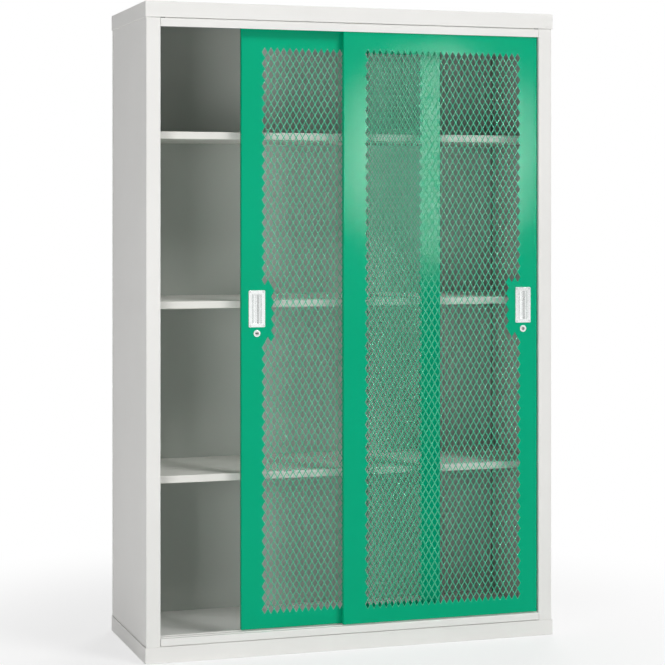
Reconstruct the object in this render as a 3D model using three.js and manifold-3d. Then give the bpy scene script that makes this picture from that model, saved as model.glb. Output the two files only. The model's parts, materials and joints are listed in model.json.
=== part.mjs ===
// Sliding door cabinet in folded steel sheet, with two pierced diamond-mesh doors that pass each other.
// Millimetres, +Z up, +X right and +Y back. The origin is the centre of the base on the floor.
import * as THREE from 'three'
import { mergeGeometries, mergeVertices } from 'three/addons/utils/BufferGeometryUtils.js'
import Module from 'manifold-3d'

const wasm = await Module()
wasm.setup()

// Overall size
const cabinetWidth = 1226
const cabinetDepth = 459
const cabinetHeight = 1830

// Gaps and cuts
const seatGap = 0.3
const cutOverrun = 4

// Sheets and their bends
const carcassSheet = 1.2
const doorSheet = 1.2
const shelfSheet = 1
const backSheet = 0.8
const carcassBend = 1
const doorBend = 0.8
const shelfBend = 0.8
const stepsPerBend = 2

// Top cap and base tray, whose hemmed skirts stand a little outside the body
const capBand = 44
const baseBand = 45
const skirtThickness = 2.4
const skirtClearance = 0.6

// Side panels: wall, front stile, jamb return and rear flange, folded from one sheet
const stileWidth = 41
const jambDepth = 55
const jambLip = 12
const rearFlange = 20

// Head rail, which is the fascia, a level shelf over the track and an upstand to the cap
const fasciaShow = 25
const headShelfDrop = 22
const headShelfDepth = 48.5

// Sill rail and the floor behind it
const sillShow = 21
const floorTop = 48

// Doors
const doorWidth = 600
const doorThickness = 16
const doorLip = 10
const doorSetback = 4
const doorGap = 5
const closingGap = 4
const doorBottomGap = 4.3
const doorTopHidden = 7

// The left door stands part open, by a share of its whole slide. It stops where its handle is still
// this far clear of the right door.
const leftDoorOpenShare = 0.5442
const leftHandleStaysClear = 31

// Diamond mesh: real fields of diamonds are drawn with fewer and larger gaps of the same shape
const meshWidth = 484
const meshHeight = 1605
const meshColumns = 7
const meshRows = 14
const meshOpenShare = 0.83
const meshBottomMargin = 39
const leftMeshMargin = 59
const rightMeshMargin = 52
const lockTabReach = 96
const lockTabBottom = 876
const lockTabTop = 1058

// Flush pull handle
const handleWidth = 48
const handleHeight = 104
const handleBottom = 922
const handleFromEdge = 45
const handlePlate = 1.5
const handleRecessWidth = 27
const handleRecessHeight = 82
const handleRecessDepth = 10
const handleRecessRound = 9
const handleWall = 1
const handleCutClearance = 0.6

// Cam lock below the handle
const lockBelowHandle = 17.5
const lockHeadRadius = 10
const lockHeadThickness = 1.5
const barrelRadius = 8
const barrelWall = 2.6
const plugClearance = 0.3
const plugSink = 0.2
const lockCutClearance = 0.4
const nutAcrossFlats = 22
const nutThickness = 2.5
const camDepth = 12.2
const camThickness = 1.6
const camWidth = 14
const camReach = 57
const camSlotClearance = 0.8
const camSlotRise = 44
const camStudRadius = 3
const camScrewRadius = 4.5
const camScrewHeight = 1.2
const keySlotWidth = 1.8
const keySlotHeight = 7
const keySlotDepth = 6

// Bottom rollers, which run on a raised rail under each door
const rollerRadius = 10.6
const rollerGrooveRadius = 8
const rollerWidth = 8
const rollerRimWidth = 1.6
const rollerGrooveSide = 0.4
const rollerBoreRadius = 2.8
const rollerFromEnd = 70
const rollerSideGap = 1
const rollerSlotGap = 1.5
const railWidth = 3
const railHeight = 3
const railGap = 0.1
const axleClearance = 0.3
const bracketSheet = 1.5
const bracketLength = 44
const bracketHeadroom = 1.5

// Top track and the guide blocks that run in it
const trackWall = 1.6
const trackLegRise = 2
const guideLength = 50
const guideFromEnd = 10
const guideHeight = 26
const guideSideGap = 0.3
const guideSpigotRadius = 3
const guideSpigotLength = 4

// Shelves, slotted uprights and the clips between them
const shelfTops = [507.5, 996, 1473]
const shelfLip = 21
const shelfSetback = 68
const shelfClearance = 1
const uprightWidth = 24
const uprightDepth = 8
const uprightSheet = 1.5
const uprightTopGap = 30
const frontUprightSetback = 76
const rearUprightInset = 11
const slotWidth = 13
const slotHeight = 9
const slotPitch = 12.5
const slotsPerGroup = 5
const clipWidth = 12
const clipSheet = 1.5
const clipLedge = 14
const clipDrop = 22
const clipHook = 6

// Smoothness of round pieces
const roundSteps = 24
const spigotSteps = 12
const stepsPerArc = 6

// Places that follow from the sizes above
const bandProud = skirtThickness + skirtClearance
const bodyRight = cabinetWidth / 2 - bandProud
const bodyBack = cabinetDepth / 2 - bandProud
const bodyFront = -bodyBack
const bodyBottom = carcassSheet + seatGap
const bodyTop = cabinetHeight - carcassSheet - seatGap
const wallInside = bodyRight - carcassSheet
const jambFace = bodyRight - stileWidth
const jambBack = bodyFront + jambDepth
const betweenJambs = jambFace - seatGap
const fasciaBottom = cabinetHeight - capBand - fasciaShow
const headShelfTop = bodyTop - headShelfDrop
const sillTop = baseBand + sillShow
const backPanelBack = bodyBack - carcassSheet - seatGap
const backPanelFront = backPanelBack - backSheet
const doorBottom = sillTop + doorBottomGap
const doorTop = fasciaBottom + doorTopHidden
const frontDoorFace = bodyFront + doorSetback
const rearDoorFace = frontDoorFace + doorThickness + doorGap
const doorEdgeShut = jambFace - closingGap
const leftHandleStop = handleFromEdge + handleWidth / 2 + leftHandleStaysClear
const leftDoorSlide = 2 * doorEdgeShut - doorWidth - leftHandleStop
const leftDoorAtRest = -doorEdgeShut + leftDoorOpenShare * leftDoorSlide
const handleMiddle = handleBottom + handleHeight / 2
const lockHeight = handleBottom - lockBelowHandle
const railTop = sillTop + seatGap + railHeight
const rollerAxis = railTop + railGap + rollerGrooveRadius
const midLegGap = (doorGap - trackWall) / 2
const guideWidth = doorThickness + 2 * (midLegGap - guideSideGap)
const trackWebTop = headShelfTop - carcassSheet - seatGap
const trackLegBottom = fasciaBottom + trackLegRise
const uprightFace = wallInside - seatGap - uprightDepth
const shelfRight = uprightFace - shelfClearance
const shelfFront = bodyFront + shelfSetback
const shelfBack = backPanelFront - shelfClearance
const frontUprightMiddle = bodyFront + frontUprightSetback + uprightWidth / 2
const rearUprightMiddle = backPanelFront - rearUprightInset - uprightWidth / 2

// Finishes
function finish(color, roughness, metalness) {
  return () => new THREE.MeshStandardMaterial({ color, roughness, metalness })
}
const paleEnamel = finish('#e6e4e0', 0.5, 0)
const greenEnamel = finish('#00a87c', 0.42, 0)
const shelfEnamel = finish('#dcdad4', 0.5, 0)
const chromedZinc = finish('#e4e7e6', 0.18, 1)
const zincPlate = finish('#b9bcbd', 0.38, 1)
const aluminium = finish('#c3c5c7', 0.42, 1)
const nylon = finish('#e9e6dc', 0.5, 0)
const rubber = finish('#2a2b2c', 0.85, 0)

const cabinet = new THREE.Group()

function addPiece(parent, name, geometry, material) {
  const mesh = new THREE.Mesh(geometry, material())
  mesh.name = name
  parent.add(mesh)
  return mesh
}

// Solids and booleans
function toSolid(geometry) {
  const bare = geometry.clone()
  bare.deleteAttribute('normal')
  bare.deleteAttribute('uv')
  const merged = mergeVertices(bare)
  const vertProperties = new Float32Array(merged.attributes.position.array)
  const triVerts = new Uint32Array(merged.index.array)
  return new wasm.Manifold(new wasm.Mesh({ numProp: 3, vertProperties, triVerts }))
}

function toGeometry(solid) {
  const { vertProperties, triVerts } = solid.getMesh()
  const geometry = new THREE.BufferGeometry()
  geometry.setAttribute('position', new THREE.Float32BufferAttribute(vertProperties, 3))
  geometry.setIndex(new THREE.Uint32BufferAttribute(triVerts, 1))
  geometry.computeVertexNormals()
  return geometry
}

function cut(geometry, ...tools) {
  const left = tools.reduce((solid, tool) => solid.subtract(toSolid(tool)), toSolid(geometry))
  return toGeometry(left)
}

function join(geometry, ...others) {
  const whole = others.reduce((solid, other) => solid.add(toSolid(other)), toSolid(geometry))
  return toGeometry(whole)
}

function common(geometry, other) {
  return toGeometry(toSolid(geometry).intersect(toSolid(other)))
}

// A box between two values on each axis
function block([x0, x1], [y0, y1], [z0, z1]) {
  const box = new THREE.BoxGeometry(x1 - x0, y1 - y0, z1 - z0)
  return box.translate((x0 + x1) / 2, (y0 + y1) / 2, (z0 + z1) / 2)
}

// Extrusions of an outline drawn in plan, in side view (Y, Z) and in front view (X, Z)
function extrude(shape, depth) {
  return new THREE.ExtrudeGeometry(shape, { depth, bevelEnabled: false, curveSegments: stepsPerArc })
}

function alongZ(shape, [z0, z1]) {
  return extrude(shape, z1 - z0).translate(0, 0, z0)
}

function alongX(shape, [x0, x1]) {
  const turned = new THREE.Matrix4().set(0, 0, 1, x0, 1, 0, 0, 0, 0, 1, 0, 0, 0, 0, 0, 1)
  return extrude(shape, x1 - x0).applyMatrix4(turned)
}

function alongY(shape, [y0, y1]) {
  const turned = new THREE.Matrix4().set(1, 0, 0, 0, 0, 0, -1, y1, 0, 1, 0, 0, 0, 0, 0, 1)
  return extrude(shape, y1 - y0).applyMatrix4(turned)
}

function roundBar(radius, [y0, y1], x, z) {
  const bar = new THREE.CylinderGeometry(radius, radius, y1 - y0, roundSteps)
  return bar.translate(x, (y0 + y1) / 2, z)
}

function outline(points) {
  return new THREE.Shape(points.map(([x, y]) => new THREE.Vector2(x, y)))
}

// Section of a folded sheet. The path runs along its outer face and the material lies to its left,
// or to its right where side is -1. Each fold gets a round bend.
function foldedSheet(points, thickness, bend, side = 1) {
  const path = points.map(([x, y]) => new THREE.Vector2(x, y))
  const ways = path.slice(1).map((point, i) => point.clone().sub(path[i]).normalize())
  const normals = ways.map((way) => new THREE.Vector2(-way.y, way.x).multiplyScalar(side))
  const last = path.length - 1
  const leftSide = []
  const rightSide = []
  const addPair = (centre, out, near, far) => {
    leftSide.push(centre.clone().addScaledVector(out, near))
    rightSide.push(centre.clone().addScaledVector(out, far))
  }
  addPair(path[0], normals[0], 0, thickness)
  for (let i = 1; i < last; i++) {
    const turn = ways[i - 1].cross(ways[i]) * side
    const mitre = normals[i - 1].clone().add(normals[i]).normalize()
    const stretch = 1 / mitre.dot(normals[i])
    const inward = turn > 0
    const far = inward ? thickness + bend : -bend
    const centre = path[i].clone().addScaledVector(mitre, far * stretch)
    const start = normals[i - 1].angle()
    let sweep = normals[i].angle() - start
    sweep = Math.atan2(Math.sin(sweep), Math.cos(sweep))
    for (let step = 0; step <= stepsPerBend; step++) {
      const angle = start + (sweep * step) / stepsPerBend
      const out = new THREE.Vector2(Math.cos(angle), Math.sin(angle))
      addPair(centre, out, -far, thickness - far)
    }
  }
  addPair(path[last], normals[last - 1], 0, thickness)
  return new THREE.Shape([...leftSide, ...rightSide.reverse()])
}

// A rectangle whose corners are rounded on the low side, the high side or both
function roundedRectangle([x0, x1], [y0, y1], lowRadius, highRadius) {
  const corners = [[x0, y0, lowRadius, Math.PI], [x1, y0, lowRadius, 1.5 * Math.PI],
    [x1, y1, highRadius, 0], [x0, y1, highRadius, 0.5 * Math.PI]]
  const points = []
  for (const [x, y, radius, start] of corners) {
    const centreX = x + (x === x0 ? radius : -radius)
    const centreY = y + (y === y0 ? radius : -radius)
    const steps = radius > 0 ? stepsPerBend : 0
    for (let step = 0; step <= steps; step++) {
      const angle = start + (steps ? (step / steps) * (Math.PI / 2) : 0)
      points.push([centreX + radius * Math.cos(angle), centreY + radius * Math.sin(angle)])
    }
  }
  return outline(points)
}

// A tray folded up or down from one sheet: round bends along its four edges, open on one side
function traySolid(xs, ys, zs, sheet, bend, opensUp, wall = sheet) {
  const [z0, z1] = zs
  const rounds = (radius) => (opensUp ? [radius, 0] : [0, radius])
  const rounded = (spanX, spanY, spanZ, radius) => common(
    alongY(roundedRectangle(spanX, spanZ, ...rounds(radius)), spanY),
    alongX(roundedRectangle(spanY, spanZ, ...rounds(radius)), spanX))
  const inset = ([low, high]) => [low + wall, high - wall]
  const hollowZ = opensUp ? [z0 + sheet, z1 + cutOverrun] : [z0 - cutOverrun, z1 - sheet]
  return cut(rounded(xs, ys, zs, bend + sheet), rounded(inset(xs), inset(ys), hollowZ, bend))
}

// Outer bands
function makeBands() {
  const acrossX = [-cabinetWidth / 2, cabinetWidth / 2]
  const acrossY = [-cabinetDepth / 2, cabinetDepth / 2]
  const capZ = [cabinetHeight - capBand, cabinetHeight]
  const cap = traySolid(acrossX, acrossY, capZ, carcassSheet, carcassBend, false, skirtThickness)
  const base = traySolid(acrossX, acrossY, [0, baseBand], carcassSheet, carcassBend, true, skirtThickness)
  addPiece(cabinet, 'top_cap', cap, paleEnamel)
  addPiece(cabinet, 'base_tray', base, paleEnamel)
}

// Side panel in plan: jamb lip, jamb, stile, wall and rear flange. Its jamb has the lock's slot.
function makeSidePanel(name, hand, doorFace) {
  const path = [[jambFace + jambLip, jambBack], [jambFace, jambBack], [jambFace, bodyFront],
    [bodyRight, bodyFront], [bodyRight, bodyBack], [bodyRight - rearFlange, bodyBack]]
  const section = foldedSheet(path.map(([x, y]) => [hand * x, y]), carcassSheet, carcassBend, hand)
  const panel = alongZ(section, [bodyBottom, bodyTop])
  addPiece(cabinet, name, cut(panel, camSlot(hand * jambFace, doorFace)), paleEnamel)
}

// Slot for the lock's cam, which swings down into it
function camSlot(x, doorFace) {
  const camFront = doorFace + camDepth
  const ys = [camFront - camSlotClearance, camFront + camThickness + camSlotClearance]
  const zs = [lockHeight - camWidth / 2 - camSlotClearance, lockHeight + camSlotRise]
  return block([x - cutOverrun, x + cutOverrun], ys, zs)
}

function makeCarcass() {
  makeSidePanel('left_side_panel', -1, rearDoorFace)
  makeSidePanel('right_side_panel', 1, frontDoorFace)
  const between = [-betweenJambs, betweenJambs]
  const wide = [-wallInside + seatGap, wallInside - seatGap]

  const back = block(wide, [backPanelFront, backPanelBack], [bodyBottom, bodyTop])
  addPiece(cabinet, 'back_panel', back, paleEnamel)

  const headBack = bodyFront + headShelfDepth
  const headPath = [[bodyFront, fasciaBottom], [bodyFront, headShelfTop], [headBack, headShelfTop],
    [headBack, bodyTop]]
  const headRail = alongX(foldedSheet(headPath, carcassSheet, carcassBend, -1), between)
  addPiece(cabinet, 'head_rail', headRail, paleEnamel)

  const sillPath = [[bodyFront, bodyBottom], [bodyFront, sillTop], [jambBack, sillTop],
    [jambBack, bodyBottom]]
  const sillRail = alongX(foldedSheet(sillPath, carcassSheet, carcassBend, -1), between)
  addPiece(cabinet, 'sill_rail', sillRail, paleEnamel)

  const floorY = [jambBack + seatGap, backPanelFront - seatGap]
  const floor = traySolid(wide, floorY, [bodyBottom, floorTop], carcassSheet, carcassBend, false)
  addPiece(cabinet, 'floor_panel', floor, paleEnamel)
}

// Extruded top track: a web under the head rail, a leg between the doors and one behind them
function makeTrack() {
  const rearDoorBack = rearDoorFace + doorThickness
  const midLeg = frontDoorFace + doorThickness + midLegGap
  const rearLeg = rearDoorBack + midLegGap
  const webBottom = trackWebTop - trackWall
  const front = bodyFront + carcassSheet + seatGap
  const section = outline([[front, trackWebTop], [front, webBottom], [midLeg, webBottom],
    [midLeg, trackLegBottom], [midLeg + trackWall, trackLegBottom], [midLeg + trackWall, webBottom],
    [rearLeg, webBottom], [rearLeg, trackLegBottom], [rearLeg + trackWall, trackLegBottom],
    [rearLeg + trackWall, trackWebTop]])
  addPiece(cabinet, 'top_track', alongX(section, [-betweenJambs, betweenJambs]), aluminium)
}

// Raised rails on the sill, one under the middle of each door
function makeFloorRails() {
  for (const [name, face] of [['front_floor_rail', frontDoorFace], ['rear_floor_rail', rearDoorFace]]) {
    const middle = face + doorThickness / 2
    const ys = [middle - railWidth / 2, middle + railWidth / 2]
    const rail = block([-betweenJambs, betweenJambs], ys, [sillTop + seatGap, railTop])
    addPiece(cabinet, name, rail, zincPlate)
  }
}

// Rubber stops in the track, which the guide blocks meet at both ends of each door's travel
function makeStops() {
  const furthest = -doorEdgeShut + leftDoorSlide + doorWidth - guideFromEnd
  const shut = doorEdgeShut - guideFromEnd
  const stopLength = betweenJambs - seatGap - shut
  const leftStart = -shut - seatGap - stopLength
  const stops = [['front_left_stop', frontDoorFace, leftStart],
    ['front_right_stop', frontDoorFace, shut + seatGap],
    ['rear_left_stop', rearDoorFace, leftStart],
    ['rear_right_stop', rearDoorFace, furthest + seatGap]]
  const zs = [doorTop + seatGap, trackWebTop - trackWall - seatGap]
  for (const [name, face, start] of stops) {
    const middle = face + doorThickness / 2
    const ys = [middle - guideWidth / 2, middle + guideWidth / 2]
    addPiece(cabinet, name, block([start, start + stopLength], ys, zs), rubber)
  }
}

// Slotted upright: a channel with its web facing inwards and a group of slots round each shelf
function uprightSolid(hand) {
  const ys = [-uprightWidth / 2, uprightWidth / 2]
  const path = [[uprightFace + uprightDepth, ys[0]], [uprightFace, ys[0]], [uprightFace, ys[1]],
    [uprightFace + uprightDepth, ys[1]]]
  const section = foldedSheet(path.map(([x, y]) => [hand * x, y]), uprightSheet, shelfBend, -hand)
  const channel = alongZ(section, [floorTop + seatGap, bodyTop - uprightTopGap])
  const slots = []
  for (const top of shelfTops) {
    for (let i = 0; i < slotsPerGroup; i++) {
      const high = slotTop(top) + (i - (slotsPerGroup - 1) / 2) * slotPitch
      const xs = [hand * uprightFace - cutOverrun / 2, hand * uprightFace + cutOverrun / 2]
      slots.push(block(xs, [-slotWidth / 2, slotWidth / 2], [high - slotHeight, high]))
    }
  }
  return cut(channel, mergeGeometries(slots))
}

// The slot that carries a shelf lies just below the underside of its lip
function slotTop(shelfTop) {
  return shelfTop - shelfLip - seatGap
}

// Shelf clip in front view: hook behind the upright's web, plate down its face and ledge under the lip
function clipSolid(hand, shelfTop) {
  const top = slotTop(shelfTop)
  const low = top - clipSheet
  const plate = uprightFace - seatGap
  const hookFace = uprightFace + uprightSheet + seatGap
  const points = [[plate - clipLedge, top], [plate - clipLedge, low], [plate - clipSheet, low],
    [plate - clipSheet, top - clipDrop], [plate, top - clipDrop], [plate, low], [hookFace, low],
    [hookFace, top - clipHook], [hookFace + clipSheet, top - clipHook], [hookFace + clipSheet, top]]
  return alongY(outline(points.map(([x, z]) => [hand * x, z])), [-clipWidth / 2, clipWidth / 2])
}

function makeShelving() {
  const sides = [['left', -1], ['right', 1]]
  const places = [['front', frontUprightMiddle], ['rear', rearUprightMiddle]]
  for (const [side, hand] of sides) {
    for (const [place, y] of places) {
      addPiece(cabinet, `${side}_${place}_upright`, uprightSolid(hand), zincPlate).position.y = y
      shelfTops.forEach((top, i) => {
        const name = `shelf_${i + 1}_${side}_${place}_clip`
        addPiece(cabinet, name, clipSolid(hand, top), zincPlate).position.y = y
      })
    }
  }
  shelfTops.forEach((top, i) => {
    const shelf = traySolid([-shelfRight, shelfRight], [shelfFront, shelfBack], [top - shelfLip, top],
      shelfSheet, shelfBend, false)
    addPiece(cabinet, `shelf_${i + 1}`, shelf, shelfEnamel)
  })
}

// A field of upright diamonds in staggered rows, as tools that cut right through the door's face.
// Diamonds that would reach into the plain tab round the handle and the lock are left out.
function diamondTools(left, tabX, ys) {
  const pitchX = meshWidth / meshColumns
  const pitchZ = meshHeight / meshRows
  const halfX = (pitchX / 2) * meshOpenShare
  const halfZ = (pitchZ / 2) * meshOpenShare
  const bottom = doorBottom + meshBottomMargin
  const tools = []
  for (let row = 1; row < 2 * meshRows; row++) {
    const columns = row % 2 ? meshColumns : meshColumns - 1
    for (let column = 0; column < columns; column++) {
      const x = left + (column + (row % 2 ? 0.5 : 1)) * pitchX
      const z = bottom + (row / 2) * pitchZ
      const besideTab = z + halfZ > lockTabBottom && z - halfZ < lockTabTop
      if (besideTab && x + halfX > tabX[0] && x - halfX < tabX[1]) continue
      const diamond = outline([[x - halfX, z], [x, z - halfZ], [x + halfX, z], [x, z + halfZ]])
      tools.push(alongY(diamond, ys))
    }
  }
  return mergeGeometries(tools)
}

// Door skin: a tray with its face forward and lips turned in at the back
function doorSkin(closingEdge, hand) {
  const away = closingEdge - hand * doorWidth
  const xs = [Math.min(closingEdge, away), Math.max(closingEdge, away)]
  const zs = [doorBottom, doorTop]
  const round = doorBend + doorSheet
  const plan = roundedRectangle(xs, [0, doorThickness], round, round)
  const side = roundedRectangle([0, doorThickness], zs, round, round)
  const outer = common(alongZ(plan, zs), alongX(side, xs))
  const inside = ([low, high], wall) => [low + wall, high - wall]
  const hollow = block(inside(xs, doorSheet), inside([0, doorThickness], doorSheet), inside(zs, doorSheet))
  const mouthY = [doorThickness - doorSheet - seatGap, doorThickness + cutOverrun]
  const mouth = block(inside(xs, doorLip), mouthY, inside(zs, doorLip))
  const tray = cut(outer, hollow, mouth)

  const throughFace = [-cutOverrun, doorSheet + cutOverrun]
  const margin = hand < 0 ? leftMeshMargin : rightMeshMargin
  const meshEdge = closingEdge - hand * margin
  const meshLeft = Math.min(meshEdge, meshEdge - hand * meshWidth)
  const tabEdge = closingEdge - hand * lockTabReach
  const tabX = [Math.min(closingEdge, tabEdge), Math.max(closingEdge, tabEdge)]
  const diamonds = diamondTools(meshLeft, tabX, throughFace)

  const handleX = closingEdge - hand * handleFromEdge
  const cupHalf = handleRecessWidth / 2 + handleWall + handleCutClearance
  const cupTall = handleRecessHeight / 2 + handleWall + handleCutClearance
  const handleCut = block([handleX - cupHalf, handleX + cupHalf], throughFace,
    [handleMiddle - cupTall, handleMiddle + cupTall])
  const lockCut = roundBar(barrelRadius + lockCutClearance, throughFace, handleX, lockHeight)
  const cuts = [diamonds, handleCut, lockCut, camSlot(closingEdge, 0)]
  for (const x of rollerPlaces(closingEdge, hand)) {
    const reach = Math.sqrt(rollerRadius ** 2 - (rollerAxis - doorBottom - doorSheet) ** 2) + rollerSlotGap
    const wide = rollerWidth / 2 + rollerSlotGap
    const ys = [doorThickness / 2 - wide, doorThickness / 2 + wide]
    cuts.push(block([x - reach, x + reach], ys, [doorBottom - cutOverrun, doorBottom + cutOverrun]))
  }
  for (const x of guidePlaces(closingEdge, hand)) {
    const hole = new THREE.CylinderGeometry(guideSpigotRadius + seatGap, guideSpigotRadius + seatGap,
      2 * cutOverrun, spigotSteps)
    cuts.push(hole.rotateX(Math.PI / 2).translate(x, doorThickness / 2, doorTop))
  }
  return cut(tray, ...cuts)
}

function rollerPlaces(closingEdge, hand) {
  return [closingEdge - hand * rollerFromEnd, closingEdge - hand * (doorWidth - rollerFromEnd)]
}

function guidePlaces(closingEdge, hand) {
  const inset = guideFromEnd + guideLength / 2
  return [closingEdge - hand * inset, closingEdge - hand * (doorWidth - inset)]
}

// Roller bracket: an upturned channel in the foot of the door, with its axle riveted in
function bracketSolid() {
  const inner = rollerWidth / 2 + rollerSideGap
  const outer = inner + bracketSheet
  const foot = doorBottom + doorSheet + seatGap
  const head = rollerAxis + rollerRadius + bracketHeadroom + bracketSheet
  const path = [[-outer, foot], [-outer, head], [outer, head], [outer, foot]]
  const section = foldedSheet(path, bracketSheet, shelfBend, -1)
  const channel = alongX(section, [-bracketLength / 2, bracketLength / 2])
  return join(channel, roundBar(rollerBoreRadius - axleClearance, [-outer, outer], 0, rollerAxis))
}

// Grooved roller turned about its own axis
function rollerSolid() {
  const half = rollerWidth / 2
  const rim = half - rollerRimWidth
  const groove = railWidth / 2 + rollerGrooveSide
  const profile = [[rollerBoreRadius, -half], [rollerRadius, -half], [rollerRadius, -rim],
    [rollerGrooveRadius, -groove], [rollerGrooveRadius, groove], [rollerRadius, rim], [rollerRadius, half],
    [rollerBoreRadius, half], [rollerBoreRadius, -half]]
  return new THREE.LatheGeometry(profile.map(([r, y]) => new THREE.Vector2(r, y)), roundSteps)
}

// Guide block on the door's top edge, with a spigot down through it
function guideSolid() {
  const end = guideWidth / 2
  const shape = new THREE.Shape()
  const straight = guideLength / 2 - end
  shape.absarc(straight, 0, end, -Math.PI / 2, Math.PI / 2)
  shape.absarc(-straight, 0, end, Math.PI / 2, 1.5 * Math.PI)
  const foot = doorTop + seatGap
  const runner = alongZ(shape, [foot, foot + guideHeight])
  const spigotLength = guideSpigotLength + seatGap
  const spigot = new THREE.CylinderGeometry(guideSpigotRadius, guideSpigotRadius, 2 * spigotLength,
    spigotSteps)
  return join(runner, spigot.rotateX(Math.PI / 2).translate(0, 0, foot))
}

// Flush pull: a plate on the door's face and a cup behind it, open at the front
function handleSolid() {
  const plateBack = -seatGap
  const plateFront = plateBack - handlePlate
  const bottomInside = plateFront + handleRecessDepth
  const plate = block([-handleWidth / 2, handleWidth / 2], [plateFront, plateBack],
    [-handleHeight / 2, handleHeight / 2])
  const cupShape = (half, deep, round) => {
    const shape = new THREE.Shape()
    shape.moveTo(half, plateFront)
    shape.lineTo(half, deep - round)
    shape.absarc(half - round, deep - round, round, 0, Math.PI / 2)
    shape.absarc(-half + round, deep - round, round, Math.PI / 2, Math.PI)
    shape.lineTo(-half, plateFront)
    return shape
  }
  const half = handleRecessWidth / 2
  const tall = handleRecessHeight / 2
  const cup = alongZ(cupShape(half + handleWall, bottomInside + handleWall, handleRecessRound + handleWall),
    [-tall - handleWall, tall + handleWall])
  const recess = alongZ(cupShape(half, bottomInside, handleRecessRound), [-tall, tall])
  const mouth = block([-half, half], [plateFront - cutOverrun, plateFront + handlePlate / 2], [-tall, tall])
  return cut(join(plate, cup), join(recess, mouth))
}

// Lock barrel with its round head in front of the door
function barrelSolid() {
  const bore = barrelRadius - barrelWall
  const headBack = -seatGap
  const headFront = headBack - lockHeadThickness
  const back = camDepth - seatGap
  const profile = [[bore, headFront], [lockHeadRadius, headFront], [lockHeadRadius, headBack],
    [barrelRadius, headBack], [barrelRadius, back], [bore, back], [bore, headFront]]
  return new THREE.LatheGeometry(profile.map(([r, y]) => new THREE.Vector2(r, y)), roundSteps)
}

// Hexagonal nut that holds the barrel from inside the door
function nutSolid() {
  const corner = nutAcrossFlats / Math.sqrt(3)
  const sides = 6
  const points = []
  for (let i = 0; i < sides; i++) {
    const angle = (i / sides) * 2 * Math.PI
    points.push([corner * Math.cos(angle), corner * Math.sin(angle)])
  }
  const shape = outline(points)
  const hole = new THREE.Path()
  hole.absarc(0, 0, barrelRadius + seatGap, 0, 2 * Math.PI)
  shape.holes.push(hole)
  const front = doorSheet + seatGap
  return alongY(shape, [front, front + nutThickness])
}

// Lock plug with the stud and screw head that hold the cam, and the key's slot in its face
function plugSolid() {
  const radius = barrelRadius - barrelWall - plugClearance
  const face = -seatGap - lockHeadThickness + plugSink
  const shoulder = camDepth - seatGap
  const screwFront = camDepth + camThickness + seatGap
  const screwBack = screwFront + camScrewHeight
  const profile = [[0, face], [radius, face], [radius, shoulder], [camStudRadius, shoulder],
    [camStudRadius, screwFront], [camScrewRadius, screwFront], [camScrewRadius, screwBack], [0, screwBack]]
  const body = new THREE.LatheGeometry(profile.map(([r, y]) => new THREE.Vector2(r, y)), roundSteps)
  const slot = block([-keySlotWidth / 2, keySlotWidth / 2], [face - cutOverrun, face + keySlotDepth],
    [-keySlotHeight / 2, keySlotHeight / 2])
  return cut(body, slot)
}

// Cam in front view: it stands upright behind the handle until the key turns it
function camSolid() {
  const round = camWidth / 2
  const shape = new THREE.Shape()
  shape.absarc(0, 0, round, Math.PI, 2 * Math.PI)
  shape.lineTo(round, camReach - round / 2)
  shape.lineTo(round / 2, camReach)
  shape.lineTo(-round / 2, camReach)
  shape.lineTo(-round, camReach - round / 2)
  const hole = new THREE.Path()
  hole.absarc(0, 0, camStudRadius + seatGap, 0, 2 * Math.PI)
  shape.holes.push(hole)
  return alongY(shape, [camDepth, camDepth + camThickness])
}

// One door with everything that travels on it. The door's group carries its place across and in depth.
function makeDoor(side, hand, closingEdge, face) {
  const door = new THREE.Group()
  door.position.set(closingEdge, face, 0)
  cabinet.add(door)
  addPiece(door, `${side}_door_skin`, doorSkin(0, hand), greenEnamel)

  const ends = ['closing', 'far']
  rollerPlaces(0, hand).forEach((x, i) => {
    const bracket = addPiece(door, `${side}_door_${ends[i]}_roller_bracket`, bracketSolid(), zincPlate)
    bracket.position.set(x, doorThickness / 2, 0)
    const roller = addPiece(door, `${side}_door_${ends[i]}_roller`, rollerSolid(), nylon)
    roller.position.set(x, doorThickness / 2, rollerAxis)
  })
  guidePlaces(0, hand).forEach((x, i) => {
    const guide = addPiece(door, `${side}_door_${ends[i]}_guide`, guideSolid(), nylon)
    guide.position.set(x, doorThickness / 2, 0)
  })

  const handleX = -hand * handleFromEdge
  addPiece(door, `${side}_handle`, handleSolid(), chromedZinc).position.set(handleX, 0, handleMiddle)

  const lock = new THREE.Group()
  lock.position.set(handleX, 0, lockHeight)
  door.add(lock)
  addPiece(lock, `${side}_lock_barrel`, barrelSolid(), chromedZinc)
  addPiece(lock, `${side}_lock_nut`, nutSolid(), zincPlate)
  const plug = addPiece(lock, `${side}_lock_plug`, plugSolid(), chromedZinc)
  plug.rotation.y = hand < 0 ? Math.PI / 2 : 0
  addPiece(lock, `${side}_lock_cam`, camSolid(), zincPlate)
}

makeBands()
makeCarcass()
makeTrack()
makeFloorRails()
makeStops()
makeShelving()
makeDoor('left', -1, leftDoorAtRest, rearDoorFace)
makeDoor('right', 1, doorEdgeShut, frontDoorFace)

export default cabinet
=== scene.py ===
"""Looks of a tall sheet-steel cabinet with two sliding doors of pierced diamond mesh.

Sizes are in millimetres unless a comment says otherwise; Blender's own unit is the metre.
"""

import json
import math

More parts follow.
